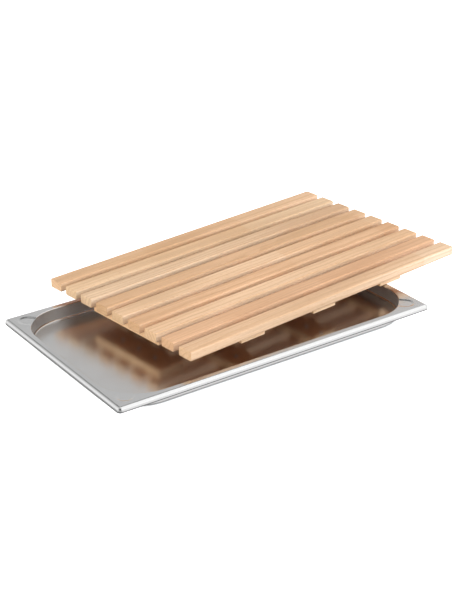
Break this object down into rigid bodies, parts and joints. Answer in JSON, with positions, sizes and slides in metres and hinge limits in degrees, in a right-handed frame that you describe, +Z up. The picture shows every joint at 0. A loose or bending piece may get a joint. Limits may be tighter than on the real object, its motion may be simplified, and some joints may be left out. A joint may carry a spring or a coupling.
{
  "type": "bread board with crumb pan",
  "caption": "Slatted wooden bread board that lifts off a shallow steel pan, which catches the crumbs that fall between its slats.",
  "frame": {"origin": "centre of the pan's flat underside, on the surface it stands on", "axes": "+X along the pan's long side, +Y across it towards the back, +Z up"},
  "size_m": [0.6588, 0.4153, 0.0492],
  "materials": {
    "pan_steel": "satin stainless sheet with a brighter rolled rim",
    "slat_wood": "planed beech, lightly oiled",
    "batten_wood": "planed beech, lightly oiled",
    "screw_steel": "bright stainless screw"
  },
  "bodies": {
    "pan": {"pan": "pan_steel"},
    "board": {"slat_1": "slat_wood", "slat_2": "slat_wood", "slat_3": "slat_wood", "slat_4": "slat_wood", "slat_5": "slat_wood", "slat_6": "slat_wood", "slat_7": "slat_wood", "slat_8": "slat_wood", "slat_9": "slat_wood", "end_batten_left": "batten_wood", "end_batten_right": "batten_wood", "cross_batten_1": "batten_wood", "cross_batten_2": "batten_wood", "cross_batten_3": "batten_wood", "end_batten_left_screws": "screw_steel", "end_batten_right_screws": "screw_steel", "cross_batten_1_screws": "screw_steel", "cross_batten_2_screws": "screw_steel", "cross_batten_3_screws": "screw_steel"}
  },
  "joints": [
    {"name": "board_lift", "type": "slide", "parent": "pan", "child": "board", "axis": [0, 0, 1], "range_m": [0, 0.12]}
  ]
}
